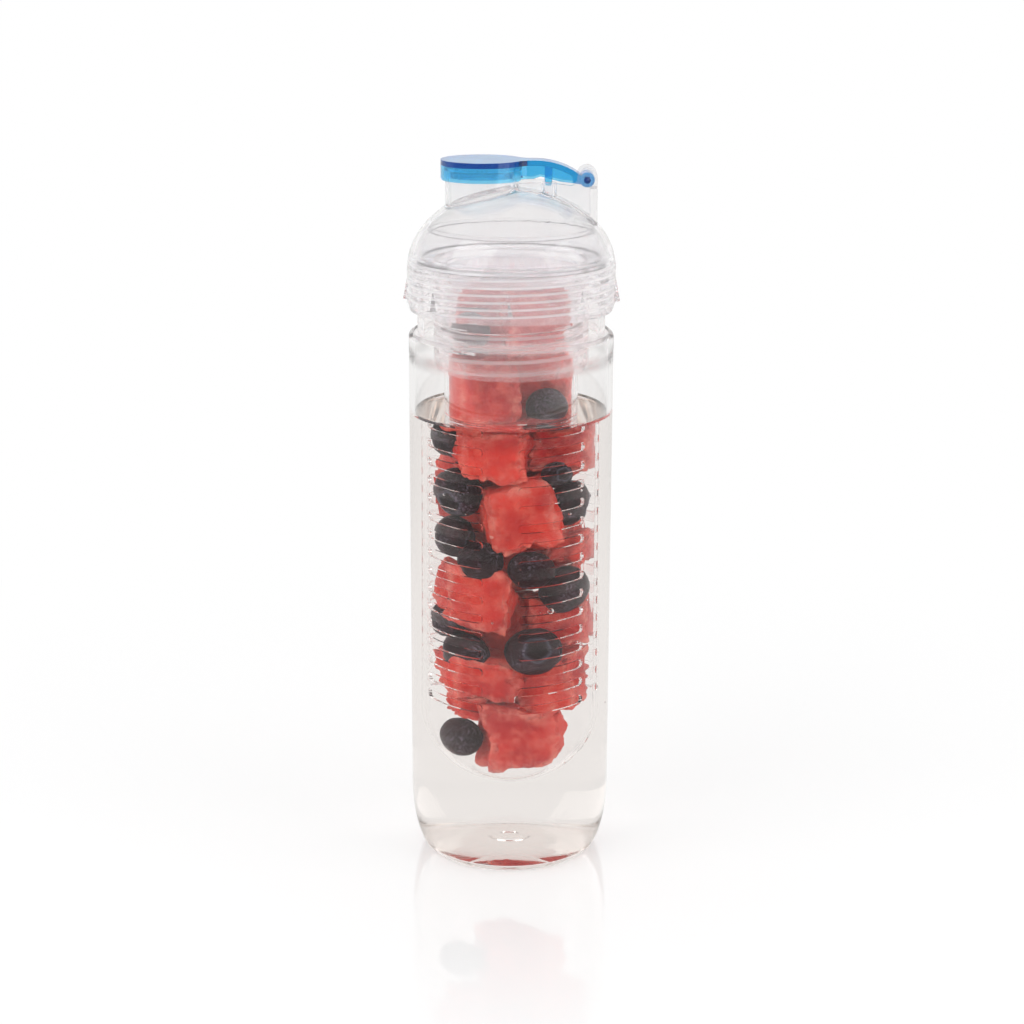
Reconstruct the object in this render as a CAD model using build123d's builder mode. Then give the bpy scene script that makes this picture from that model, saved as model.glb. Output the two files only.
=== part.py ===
"""Fruit infuser water bottle, in millimetres, +Z up.

A clear bottle is closed by a domed screw lid with a drinking spout and a blue flip cap.
A milky collar sits inside the lid and hangs into the neck. The slotted fruit basket screws
up into that collar, under a perforated strainer. The origin is the centre of the bottle's
base, on the surface it stands on. The spout lies towards -X and the cap's hinge towards +X.
"""
import os
from math import hypot, sqrt

from build123d import *

os.makedirs("parts", exist_ok=True)

# Bottle body
body_radius = 35.0
body_wall = 1.8
base_wall = 2.4
foot_curve_width = 7.0  # from the body's side in to the ring that the bottle stands on
foot_width = 2.0
foot_curve_height = 24.0
base_dish = 5.5  # how far the base is pushed up inside the foot ring
gate_mark_radius = 5.6
gate_mark_core = 2.5
gate_mark_depth = 0.4
shoulder_height = 187.5
shoulder_round = 1.8
shoulder_width = 3.0
neck_wall = 2.0
neck_length = 23.1
rim_round = 0.5

# Neck thread, between bottle and lid
neck_pitch = 4.8
neck_thread_turns = 2.6
neck_thread_height = 1.4
neck_thread_root = 1.8
neck_thread_crest = 0.9
neck_thread_drop = 14.2  # from the rim down to the start of the bottle's ridge

# Basket thread, between collar and basket
basket_pitch = 4.05
basket_thread_turns = 2.5
collar_thread_turns = 2.9
basket_thread_height = 1.35
basket_thread_root = 1.5
basket_thread_crest = 0.8
collar_thread_start = 5.9  # from the collar's lower end up to the start of its ridge
collar_thread_gap = 29.0  # width of the plain stretches at the front and the back

thread_clearance = 0.35
thread_sink = 0.4  # how deep a ridge's root lies in the wall that carries it

# Lid
lid_wall = 1.65
skirt_gap = 7.7  # from the shoulder up to the skirt's lower edge
skirt_length = 13.5
skirt_bevel_height = 2.6
skirt_bevel_width = 0.9
dome_rise = 27.3
fin_count = 8
fin_phase = -92.8
fin_length = 10.0
fin_proud = 1.5
fin_foot_width = 6.4
fin_tip_width = 1.6
fin_start_height = 2.9  # from the skirt's lower edge up to the fins' lower ends

# Spout and vent
spout_offset = 9.95
spout_radius = 12.35
spout_wall = 1.3
spout_rise = 5.9  # above the top of the dome
spout_fillet = 1.2
vent_inset = 12.9  # from the hinge axis in to the vent
vent_boss_radius = 2.8
vent_radius = 1.6
vent_boss_rise = 2.0

# Hinge ears and the deck between spout and hinge
hinge_inset = 10.2  # from the lid's side in to the hinge axis
hinge_rise = 3.2  # above the top of the dome
pin_radius = 1.15
pin_clearance = 0.05
pin_ring_radius = 1.8
pin_ring_depth = 0.4
ear_thickness = 1.6
ear_reach = 3.5  # from the hinge axis to the outer side of the ears
ear_width = 6.8
ear_rise = 4.1  # from the hinge axis to the top of the ears
ear_fillet = 2.4
deck_end_rise = 1.4
deck_crown_rise = 2.3
deck_start_rise = 1.7
post_thickness = 2.4
post_rise = 0.2

# Flip cap
cap_radius = 13.95
cap_wall = 1.1
cap_plate = 1.9
cap_height = 6.1
cap_lip_height = 0.6
cap_lip_inset = 0.3
arm_width = 8.0
arm_side_gap = 0.4
arm_blend = 6.0
arm_flat_inset = 17.2  # from the hinge axis in to the end of the arm's level part
arm_drop = 5.5
arm_hollow_end = 4.7  # from the hinge axis to the end of the arm's hollow
arm_hump_rise = 0.8
arm_hump_inset = 15.6
arm_waist_inset = 8.9
arm_waist_drop = 0.9
arm_root_drop = 1.8
barrel_radius = 2.5
nub_radius = 1.3
nub_tip_radius = 1.0
nub_reach = 1.1  # how far the nub enters the vent

# Seals
neck_seal_thickness = 1.2
neck_seal_width = 2.0
collar_seal_width = 1.4
collar_seal_height = 1.2
spout_seal_thickness = 1.4
spout_seal_gap = 0.3
spout_seal_side_gap = 0.05
plug_gap = 0.45
plug_depth = 2.6
plug_wall = 1.6

# Collar
collar_side_gap = 3.55  # between the neck's bore and the collar
collar_wall = 1.75
collar_depth = 37.0  # from the underside of the flange to the lower end
collar_bevel_height = 3.0
collar_bevel_width = 1.2
flange_thickness = 1.6
cup_height = 9.8
cup_wall = 1.6
cup_gap = 0.5

# Basket
basket_wall = 1.3
basket_bottom = 27.0
basket_mouth_drop = 2.6  # from the rim of the neck down to the basket's mouth
slot_rows = 16
slot_pitch = 6.5
slot_height = 3.0
slot_start = 57.5
slots_per_row = 4
rib_angle = 29.0
rib_phase = -98.0

# Strainer
strainer_plate = 1.3
strainer_edge_gap = 0.3
strainer_lip_height = 0.9
strainer_lip_width = 1.0
strainer_skirt_depth = 3.0
strainer_skirt_wall = 1.2
strainer_fit = 0.08
strainer_hole = 1.7
strainer_pitch = 3.6
strainer_border = 3.1  # from the basket's bore in to the field of holes

overrun = 2.0  # how far a cutting shape runs past what it cuts

# Places that follow from the sizes above
body_bore = body_radius - body_wall
foot_radius = body_radius - foot_curve_width
neck_radius = body_radius - shoulder_width
neck_bore = neck_radius - neck_wall
rim_z = shoulder_height + neck_length
lid_bore = neck_radius + neck_thread_height + thread_clearance
lid_radius = lid_bore + lid_wall
skirt_z = shoulder_height + skirt_gap
dome_base_z = skirt_z + skirt_length
dome_top_z = dome_base_z + dome_rise
spout_bore = spout_radius - spout_wall
spout_top_z = dome_top_z + spout_rise
hinge_offset = lid_radius - hinge_inset
hinge_z = dome_top_z + hinge_rise
vent_offset = hinge_offset - vent_inset
ear_inner = arm_width / 2 + arm_side_gap
ear_outer = ear_inner + ear_thickness
ear_right = hinge_offset + ear_reach
ear_left = ear_right - ear_width
cap_plate_z = spout_top_z + spout_seal_gap + spout_seal_thickness
cap_top_z = cap_plate_z + cap_plate
cap_bottom_z = cap_top_z - cap_height
flange_z = rim_z + neck_seal_thickness
flange_top_z = flange_z + flange_thickness
collar_radius = neck_bore - collar_side_gap
collar_bore = collar_radius - collar_wall
collar_bottom_z = flange_z - collar_depth
cup_rim_z = flange_z + cup_height
basket_radius = collar_bore - basket_thread_height - thread_clearance
basket_bore = basket_radius - basket_wall
basket_mouth_z = rim_z - basket_mouth_drop
neck_ridge_z = rim_z - neck_thread_drop
collar_ridge_z = collar_bottom_z + collar_thread_start


def dome_bore_radius(height):
    """Inner radius of the dome at a height above the base of the dome."""
    share = (height - dome_base_z) / (dome_rise - lid_wall)
    return lid_bore * sqrt(1 - share**2)


def dish_middle(radius, rise):
    """Middle point of a shallow dish that falls by `rise` from the axis to `radius`."""
    sphere = (radius**2 + rise**2) / (2 * rise)
    half = radius / 2
    return half, rise - sphere + sqrt(sphere**2 - half**2)


def thread_ridge(root_radius, height, pitch, turns, start_z, root_width, crest_width):
    """A helical ridge on a wall: a positive height stands outwards, a negative one inwards."""
    sink = thread_sink if height > 0 else -thread_sink
    with BuildPart() as ridge:
        with BuildLine() as track:
            Helix(pitch=pitch, height=pitch * turns, radius=root_radius, center=(0, 0, start_z))
        with BuildSketch(Plane(origin=track.line @ 0, x_dir=(1, 0, 0), z_dir=track.line % 0)):
            with BuildLine():
                Polyline(
                    (-sink, -root_width / 2),
                    (height, -crest_width / 2),
                    (height, crest_width / 2),
                    (-sink, root_width / 2),
                    close=True,
                )
            make_face()
        sweep(path=track.line, is_frenet=True)
    return ridge.part


# Bottle body: one wall from the dished base to the neck's rim, and the neck's thread
neck_ridge = thread_ridge(
    neck_radius,
    neck_thread_height,
    neck_pitch,
    neck_thread_turns,
    neck_ridge_z,
    neck_thread_root,
    neck_thread_crest,
)
foot_inner = foot_radius - foot_width
floor_radius = foot_radius - foot_width / 2
dish_x, dish_z = dish_middle(foot_inner, base_dish)
floor_x, floor_z = dish_middle(floor_radius, base_dish)
with BuildPart() as bottle_body:
    with BuildSketch(Plane.XZ) as body_section:
        with BuildLine():
            ThreePointArc((0, base_dish), (dish_x, dish_z), (foot_inner, 0))
            Line((foot_inner, 0), (foot_radius, 0))
            EllipticalCenterArc(
                (foot_radius, foot_curve_height),
                body_radius - foot_radius,
                foot_curve_height,
                start_angle=270,
                arc_size=90,
            )
            Polyline(
                (body_radius, foot_curve_height),
                (body_radius, shoulder_height),
                (neck_radius, shoulder_height),
                (neck_radius, rim_z),
                (neck_bore, rim_z),
                (neck_bore, shoulder_height - body_wall),
                (body_bore, shoulder_height - body_wall),
                (body_bore, foot_curve_height),
            )
            EllipticalCenterArc(
                (floor_radius, foot_curve_height),
                body_bore - floor_radius,
                foot_curve_height - base_wall,
                start_angle=270,
                arc_size=90,
            )
            ThreePointArc(
                (floor_radius, base_wall),
                (floor_x, base_wall + floor_z),
                (0, base_dish + base_wall),
            )
            Line((0, base_dish + base_wall), (0, base_dish))
        make_face()
        shoulder_edge = body_section.vertices().sort_by_distance((body_radius, shoulder_height))[0]
        fillet(shoulder_edge, shoulder_round)
        fillet(body_section.vertices().group_by(Axis.Y)[-1], rim_round)
    revolve(axis=Axis.Z)
    with BuildSketch(Plane.XY.offset(base_dish + gate_mark_depth)):
        Circle(gate_mark_radius)
        Circle(gate_mark_core, mode=Mode.SUBTRACT)
    extrude(amount=-base_dish, mode=Mode.SUBTRACT)
    add(neck_ridge)
bottle_body.part.label = "bottle_body"
export_step(bottle_body.part, "parts/bottle_body.step")

# Lid: skirt and dome, spout, vent, deck, hinge ears, grip fins and the inner thread
lid_ridge = thread_ridge(
    lid_bore,
    -neck_thread_height,
    neck_pitch,
    neck_thread_turns,
    neck_ridge_z + neck_pitch / 2,
    neck_thread_root,
    neck_thread_crest,
)
fin_bottom_z = skirt_z + fin_start_height
fin_root = lid_radius - lid_wall / 2
with BuildPart() as grip_fin:
    with BuildSketch(Plane.XY.offset(fin_bottom_z)):
        with BuildLine():
            Polyline(
                (fin_root, -fin_foot_width / 2),
                (lid_radius + fin_proud, -fin_tip_width / 2),
                (lid_radius + fin_proud, fin_tip_width / 2),
                (fin_root, fin_foot_width / 2),
                close=True,
            )
        make_face()
    with BuildSketch(Plane.XY.offset(fin_bottom_z + fin_length)):
        with BuildLine():
            Polyline(
                (fin_root - fin_tip_width / 4, -fin_tip_width / 2),
                (lid_radius - fin_tip_width / 4, -fin_tip_width / 4),
                (lid_radius - fin_tip_width / 4, fin_tip_width / 4),
                (fin_root - fin_tip_width / 4, fin_tip_width / 2),
                close=True,
            )
        make_face()
    loft()

deck_end_x = ear_left - ear_fillet
deck_crown_x = deck_end_x / 2
deck_start_z = dome_top_z + deck_start_rise
deck_crown_z = dome_top_z + deck_crown_rise
deck_end_z = dome_top_z + deck_end_rise
ear_centre_z = hinge_z + ear_rise - ear_width / 2
with BuildPart() as lid:
    with BuildSketch(Plane.XZ):
        with BuildLine():
            Polyline(
                (0, skirt_z),
                (lid_radius - skirt_bevel_width, skirt_z),
                (lid_radius, skirt_z + skirt_bevel_height),
                (lid_radius, dome_base_z),
            )
            EllipticalCenterArc(
                (0, dome_base_z), lid_radius, dome_rise, start_angle=0, arc_size=90
            )
            Line((0, dome_top_z), (0, skirt_z))
        make_face()
    revolve(axis=Axis.Z)
    with BuildSketch(Plane.XY.offset(dome_base_z)):
        with Locations((-spout_offset, 0)):
            Circle(spout_radius)
    extrude(amount=spout_top_z - dome_base_z)
    spout_root = lid.edges(Select.LAST).filter_by(GeomType.CIRCLE, reverse=True)
    fillet(spout_root.group_by(SortBy.LENGTH)[-1], spout_fillet)
    with BuildSketch(Plane.XZ.offset(ear_inner)):
        with BuildLine():
            ThreePointArc((0, deck_start_z), (deck_crown_x, deck_crown_z), (deck_end_x, deck_end_z))
            CenterArc((deck_end_x, deck_end_z + ear_fillet), ear_fillet, 0, -90)
            Line((ear_left, deck_end_z + ear_fillet), (ear_left, ear_centre_z))
            CenterArc((ear_left + ear_width / 2, ear_centre_z), ear_width / 2, 0, 180)
            Polyline(
                (ear_right, ear_centre_z),
                (ear_right, dome_base_z),
                (0, dome_base_z),
                (0, deck_start_z),
            )
        make_face()
    ear = extrude(amount=ear_thickness)
    mirror(ear, about=Plane.XZ)
    with BuildSketch(Plane.XY.offset(dome_base_z)):
        with Locations((ear_right - post_thickness / 2, 0)):
            Rectangle(post_thickness, 2 * ear_inner + ear_thickness)
    extrude(amount=dome_rise + post_rise)
    with BuildSketch(Plane.XY.offset(dome_base_z)):
        with Locations((vent_offset, 0)):
            Circle(vent_boss_radius)
    extrude(amount=dome_rise + vent_boss_rise)
    with PolarLocations(0, fin_count, start_angle=fin_phase):
        add(grip_fin.part)
    with BuildSketch(Plane.XZ):
        with BuildLine():
            Polyline((0, skirt_z - overrun), (lid_bore, skirt_z - overrun), (lid_bore, dome_base_z))
            EllipticalCenterArc(
                (0, dome_base_z), lid_bore, dome_rise - lid_wall, start_angle=0, arc_size=90
            )
            Line((0, dome_top_z - lid_wall), (0, skirt_z - overrun))
        make_face()
    revolve(axis=Axis.Z, mode=Mode.SUBTRACT)
    with BuildSketch(Plane.XY.offset(dome_base_z)):
        with Locations((-spout_offset, 0)):
            Circle(spout_bore)
    extrude(amount=spout_top_z - dome_base_z + overrun, mode=Mode.SUBTRACT)
    with BuildSketch(Plane.XY.offset(dome_base_z)):
        with Locations((vent_offset, 0)):
            Circle(vent_radius)
    extrude(amount=dome_rise + vent_boss_rise + overrun, mode=Mode.SUBTRACT)
    with BuildSketch(Plane.XZ):
        with Locations((hinge_offset, hinge_z)):
            Circle(pin_radius + pin_clearance)
    extrude(amount=ear_outer + overrun, both=True, mode=Mode.SUBTRACT)
    with BuildSketch(Plane.XZ.offset(ear_outer - pin_ring_depth)):
        with Locations((hinge_offset, hinge_z)):
            Circle(pin_ring_radius)
    ear_ring = extrude(amount=overrun, mode=Mode.SUBTRACT)
    mirror(ear_ring, about=Plane.XZ, mode=Mode.SUBTRACT)
    add(lid_ridge)
lid.part.label = "lid"
export_step(lid.part, "parts/lid.step")

# Collar: a milky sleeve with a flange over the neck's rim, a cup above it and a thread inside
collar_ridge = thread_ridge(
    collar_bore,
    -basket_thread_height,
    basket_pitch,
    collar_thread_turns,
    collar_ridge_z,
    basket_thread_root,
    basket_thread_crest,
)
with BuildPart() as collar_thread:
    add(collar_ridge)
    with BuildSketch(Plane.XY.offset(collar_bottom_z)):
        Rectangle(collar_thread_gap, 2 * collar_radius)
    extrude(amount=collar_depth, mode=Mode.SUBTRACT)

cup_radius = dome_bore_radius(cup_rim_z) - cup_gap
cup_middle_z = (flange_top_z + cup_rim_z) / 2
cup_middle_radius = dome_bore_radius(cup_middle_z) - cup_gap
with BuildPart() as infuser_collar:
    with BuildSketch(Plane.XZ):
        with BuildLine():
            Polyline(
                (collar_bore, flange_z),
                (collar_bore, collar_bottom_z),
                (collar_radius - collar_bevel_width, collar_bottom_z),
                (collar_radius, collar_bottom_z + collar_bevel_height),
                (collar_radius, flange_z),
                (neck_radius, flange_z),
                (neck_radius, flange_top_z),
            )
            ThreePointArc(
                (neck_radius, flange_top_z),
                (cup_middle_radius, cup_middle_z),
                (cup_radius, cup_rim_z),
            )
            Line((cup_radius, cup_rim_z), (cup_radius - cup_wall, cup_rim_z))
            ThreePointArc(
                (cup_radius - cup_wall, cup_rim_z),
                (cup_middle_radius - cup_wall, cup_middle_z),
                (neck_radius - cup_wall, flange_top_z),
            )
            Line((neck_radius - cup_wall, flange_top_z), (collar_bore, flange_z))
        make_face()
    revolve(axis=Axis.Z)
    add(collar_thread.part)
infuser_collar.part.label = "infuser_collar"
export_step(infuser_collar.part, "parts/infuser_collar.step")

# Basket: a slotted tube with a rounded closed end and an outer thread near its mouth
basket_ridge = thread_ridge(
    basket_radius,
    basket_thread_height,
    basket_pitch,
    basket_thread_turns,
    collar_ridge_z + basket_pitch / 2,
    basket_thread_root,
    basket_thread_crest,
)
slot_angle = 360 / slots_per_row - rib_angle
slot_reach = basket_radius + overrun
with BuildPart() as slot_cutter:
    with BuildSketch(Plane.XY.offset(slot_start)):
        with BuildLine():
            slot_arc = CenterArc((0, 0), slot_reach, -slot_angle / 2, slot_angle)
            Line((0, 0), slot_arc @ 0)
            Line((0, 0), slot_arc @ 1)
        make_face()
        Circle(basket_bore - overrun, mode=Mode.SUBTRACT)
    extrude(amount=slot_height)
    slot_corners = slot_cutter.edges().filter_by(GeomType.LINE).filter_by(Plane.XY)
    fillet(slot_corners, slot_height / 2 - rim_round / 2)

with BuildPart() as infuser_basket:
    with BuildSketch(Plane.XZ):
        with BuildLine():
            CenterArc((0, basket_bottom + basket_radius), basket_radius, -90, 90)
            Polyline(
                (basket_radius, basket_bottom + basket_radius),
                (basket_radius, basket_mouth_z),
                (basket_bore, basket_mouth_z),
                (basket_bore, basket_bottom + basket_radius),
            )
            CenterArc((0, basket_bottom + basket_radius), basket_bore, -90, 90)
            Line((0, basket_bottom), (0, basket_bottom + basket_wall))
        make_face()
    revolve(axis=Axis.Z)
    add(basket_ridge)
    for row in range(slot_rows):
        with Locations((0, 0, row * slot_pitch)):
            with PolarLocations(0, slots_per_row, start_angle=rib_phase + 180 / slots_per_row):
                add(slot_cutter.part, mode=Mode.SUBTRACT)
infuser_basket.part.label = "infuser_basket"
export_step(infuser_basket.part, "parts/infuser_basket.step")

# Strainer: a perforated disc that rests on the basket's mouth
strainer_radius = collar_bore - strainer_edge_gap - basket_thread_height
strainer_skirt_radius = basket_bore - strainer_fit
strainer_field = basket_bore - strainer_border
hole_steps = int(strainer_field / strainer_pitch)
hole_places = [
    (column * strainer_pitch, line * strainer_pitch)
    for column in range(-hole_steps, hole_steps + 1)
    for line in range(-hole_steps, hole_steps + 1)
    if hypot(column, line) * strainer_pitch < strainer_field
]
with BuildPart() as strainer:
    with BuildSketch(Plane.XY.offset(basket_mouth_z)):
        Circle(strainer_radius)
    extrude(amount=strainer_plate)
    with BuildSketch(Plane.XY.offset(basket_mouth_z)):
        Circle(strainer_radius)
        Circle(strainer_radius - strainer_lip_width, mode=Mode.SUBTRACT)
    extrude(amount=strainer_plate + strainer_lip_height)
    with BuildSketch(Plane.XY.offset(basket_mouth_z)):
        Circle(strainer_skirt_radius)
        Circle(strainer_skirt_radius - strainer_skirt_wall, mode=Mode.SUBTRACT)
    extrude(amount=-strainer_skirt_depth)
    with BuildSketch(Plane.XY.offset(basket_mouth_z)):
        with Locations(*hole_places):
            Rectangle(strainer_hole, strainer_hole)
    extrude(amount=strainer_plate, mode=Mode.SUBTRACT)
strainer.part.label = "strainer"
export_step(strainer.part, "parts/strainer.step")

# Flip cap: a teardrop shell with a skirt, a hollow arm, a hinge barrel and a vent nub
arm_end_x = hinge_offset - barrel_radius / 2
arm_flat_end = hinge_offset - arm_flat_inset
arm_turn = arm_end_x - arm_flat_end
arm_drop_radius = (arm_turn**2 + arm_drop**2) / (2 * arm_drop)
arm_end_z = cap_top_z - arm_drop
hollow_radius = arm_drop_radius - cap_plate
hollow_end_x = hinge_offset - arm_hollow_end
hollow_turn = hollow_end_x - arm_flat_end
hollow_end_z = cap_plate_z - hollow_radius + sqrt(hollow_radius**2 - hollow_turn**2)
cap_left_x = -spout_offset - cap_radius - overrun
nub_tip_z = dome_top_z + vent_boss_rise - nub_reach


def cap_outline(inset):
    """Adds the teardrop outline of disc and arm, drawn in by `inset`, to the open sketch."""
    disc_edge = cap_radius - inset
    arm_edge = arm_width - 2 * inset
    with Locations((-spout_offset, 0)):
        Circle(disc_edge)
    with Locations(((hinge_offset - spout_offset) / 2, 0)):
        Rectangle(hinge_offset + spout_offset, arm_edge)


with BuildPart() as cap_hollow:
    with BuildSketch(Plane.XY.offset(dome_top_z)) as hollow_outline:
        cap_outline(cap_wall)
        fillet(hollow_outline.vertices().sort_by(Axis.X)[:2], arm_blend + cap_wall)
    extrude(amount=cap_top_z - dome_top_z)
    with BuildSketch(Plane.XZ):
        with BuildLine():
            Line((cap_left_x, cap_plate_z), (arm_flat_end, cap_plate_z))
            RadiusArc((arm_flat_end, cap_plate_z), (hollow_end_x, hollow_end_z), hollow_radius)
            Polyline(
                (hollow_end_x, hollow_end_z),
                (hollow_end_x, dome_top_z),
                (cap_left_x, dome_top_z),
                (cap_left_x, cap_plate_z),
            )
        make_face()
    extrude(amount=cap_radius + overrun, both=True, mode=Mode.INTERSECT)

with BuildPart() as flip_cap:
    with BuildSketch(Plane.XY.offset(dome_top_z)) as top_outline:
        cap_outline(0)
        fillet(top_outline.vertices().sort_by(Axis.X)[:2], arm_blend)
    extrude(amount=cap_top_z - dome_top_z)
    with BuildSketch(Plane.XZ):
        with BuildLine():
            Line((cap_left_x, cap_top_z), (arm_flat_end, cap_top_z))
            RadiusArc((arm_flat_end, cap_top_z), (arm_end_x, arm_end_z), arm_drop_radius)
            Polyline(
                (arm_end_x, arm_end_z),
                (arm_end_x, cap_bottom_z - arm_root_drop),
                (hinge_offset - arm_waist_inset, cap_bottom_z - arm_waist_drop),
                (hinge_offset - arm_hump_inset, cap_bottom_z + arm_hump_rise),
                (arm_flat_end - arm_hump_rise, cap_bottom_z),
                (cap_left_x, cap_bottom_z),
                (cap_left_x, cap_top_z),
            )
        make_face()
    extrude(amount=cap_radius + overrun, both=True, mode=Mode.INTERSECT)
    with BuildSketch(Plane.XY.offset(cap_bottom_z)):
        with Locations((-spout_offset, 0)):
            Circle(cap_radius - cap_lip_inset)
    extrude(amount=-cap_lip_height)
    with BuildSketch(Plane.XZ):
        with Locations((hinge_offset, hinge_z)):
            Circle(barrel_radius)
    extrude(amount=arm_width / 2, both=True)
    add(cap_hollow.part, mode=Mode.SUBTRACT)
    with BuildSketch(Plane.XY.offset(cap_plate_z)):
        with Locations((vent_offset, 0)):
            Circle(nub_radius)
    extrude(amount=cap_bottom_z - cap_plate_z - cap_lip_height)
    with BuildSketch(Plane.XY.offset(cap_bottom_z - cap_lip_height)):
        with Locations((vent_offset, 0)):
            Circle(nub_radius)
    with BuildSketch(Plane.XY.offset(nub_tip_z)):
        with Locations((vent_offset, 0)):
            Circle(nub_tip_radius)
    loft()
    with BuildSketch(Plane.XZ):
        with Locations((hinge_offset, hinge_z)):
            Circle(pin_radius)
    extrude(amount=arm_width, both=True, mode=Mode.SUBTRACT)
flip_cap.part.label = "flip_cap"
export_step(flip_cap.part, "parts/flip_cap.step")

# Hinge pin: a rod through both ears, tight in the cap's barrel
with BuildPart() as hinge_pin:
    with BuildSketch(Plane.XZ):
        with Locations((hinge_offset, hinge_z)):
            Circle(pin_radius)
    extrude(amount=ear_outer, both=True)
hinge_pin.part.label = "hinge_pin"
export_step(hinge_pin.part, "parts/hinge_pin.step")

# Spout seal: a washer under the cap's top plate, with a ring that enters the spout
plug_radius = spout_bore - plug_gap
washer_radius = cap_radius - cap_wall - spout_seal_side_gap
with BuildPart() as spout_seal:
    with BuildSketch(Plane.XY.offset(cap_plate_z)):
        with Locations((-spout_offset, 0)):
            Circle(washer_radius)
    extrude(amount=-spout_seal_thickness)
    with BuildSketch(Plane.XY.offset(cap_plate_z - spout_seal_thickness)):
        with Locations((-spout_offset, 0)):
            Circle(plug_radius)
            Circle(plug_radius - plug_wall, mode=Mode.SUBTRACT)
    extrude(amount=-plug_depth)
spout_seal.part.label = "spout_seal"
export_step(spout_seal.part, "parts/spout_seal.step")

# Neck seal: a flat ring between the neck's rim and the collar's flange
with BuildPart() as neck_seal:
    with BuildSketch(Plane.XY.offset(rim_z)):
        Circle(neck_radius)
        Circle(neck_radius - neck_seal_width, mode=Mode.SUBTRACT)
    extrude(amount=neck_seal_thickness)
neck_seal.part.label = "neck_seal"
export_step(neck_seal.part, "parts/neck_seal.step")

# Collar seal: a ring on the rim of the collar's cup, against the inside of the dome
collar_seal_radius = dome_bore_radius(cup_rim_z + collar_seal_height) - thread_clearance / 4
with BuildPart() as collar_seal:
    with BuildSketch(Plane.XY.offset(cup_rim_z)):
        Circle(collar_seal_radius)
        Circle(collar_seal_radius - collar_seal_width, mode=Mode.SUBTRACT)
    extrude(amount=collar_seal_height)
collar_seal.part.label = "collar_seal"
export_step(collar_seal.part, "parts/collar_seal.step")
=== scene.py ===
"""The dressed fruit infuser bottle: clear plastics, water, watermelon and blueberries.

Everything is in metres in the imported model's frame: +Z up, the base's centre at the origin,
the spout towards -X and the flip cap's hinge towards +X.
"""
import math

import bmesh
import bpy
from mathutils import Matrix, Vector, noise


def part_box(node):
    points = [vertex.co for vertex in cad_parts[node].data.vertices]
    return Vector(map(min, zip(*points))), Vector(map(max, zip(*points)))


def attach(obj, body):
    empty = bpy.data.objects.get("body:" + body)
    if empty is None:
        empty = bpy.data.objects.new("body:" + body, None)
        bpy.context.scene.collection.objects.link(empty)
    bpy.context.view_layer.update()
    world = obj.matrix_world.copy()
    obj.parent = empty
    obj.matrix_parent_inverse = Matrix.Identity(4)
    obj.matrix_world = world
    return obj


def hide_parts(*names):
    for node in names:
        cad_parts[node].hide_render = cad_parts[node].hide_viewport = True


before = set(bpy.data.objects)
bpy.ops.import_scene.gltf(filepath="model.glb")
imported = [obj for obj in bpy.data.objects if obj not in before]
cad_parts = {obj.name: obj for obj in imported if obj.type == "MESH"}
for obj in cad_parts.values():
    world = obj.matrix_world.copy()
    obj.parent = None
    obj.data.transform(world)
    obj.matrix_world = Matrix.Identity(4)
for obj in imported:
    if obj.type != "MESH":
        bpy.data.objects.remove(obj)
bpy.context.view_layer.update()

MM = 0.001

# Sizes of the bottle that the contents and the finishes follow
BODY_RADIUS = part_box("bottle_body")[1].x
BODY_WALL = 1.8 * MM
BASE_WALL = 2.4 * MM
FOOT_RADIUS = 27.0 * MM
FOOT_CURVE = 24.0 * MM
BASE_DISH = 5.5 * MM
BASKET_RADIUS = 23.0 * MM
BASKET_WALL = 1.3 * MM
BASKET_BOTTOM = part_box("infuser_basket")[0].z
LID_THREAD_PITCH = 4.8 * MM
LID_THREAD_STARTS = 2
BASKET_THREAD_PITCH = 4.05 * MM
BASKET_THREAD_STARTS = 1

# The water stops a hair short of the wall, and its meniscus climbs it
WATER_LEVEL = 159.6 * MM
WATER_GAP = 0.02 * MM
MENISCUS_WIDTH = 3.0 * MM
MENISCUS_RISE = 1.12 * MM

# How much each material bends light: lowered where walls that meet would turn too dark,
# and raised for the wet basket so that its slots show
PLASTIC_IOR = 1.5
WATER_IOR = 1.333
WET_IOR = PLASTIC_IOR / WATER_IOR
BASKET_WET_IOR = 1.23
SHOULDER_IOR = 1.08
LID_IOR = 1.4
MILKY_IOR = 1.17
BLUE_IOR = 1.49
SILICONE_IOR = 1.12
BUBBLE_IOR = 0.75
FRUIT_IOR = 1.1

# Heights at which a finish fades in or out: where the fade starts and where it ends
NECK_CLEARS = (0.176, 0.184)
NECK_HAZES = (0.183, 0.192)
SHOULDER_FROM = (0.1848, 0.1868)
SHOULDER_TO = (0.188, 0.1895)
SKIRT_TO = (0.208, 0.222)
LID_THREAD_FROM = (0.196, 0.198)
LID_THREAD_TO = (0.212, 0.216)
COLLAR_THREAD_FROM = (0.174, 0.176)
COLLAR_THREAD_TO = (0.189, 0.191)

# The studio: what bent and mirrored rays see behind the bottle, and how dim its open front is
BACKGROUND = (0.885, 0.875, 0.868)
STUDIO_FRONT = 0.62
STUDIO_SIDE = 0.6


# Shader maths

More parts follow.
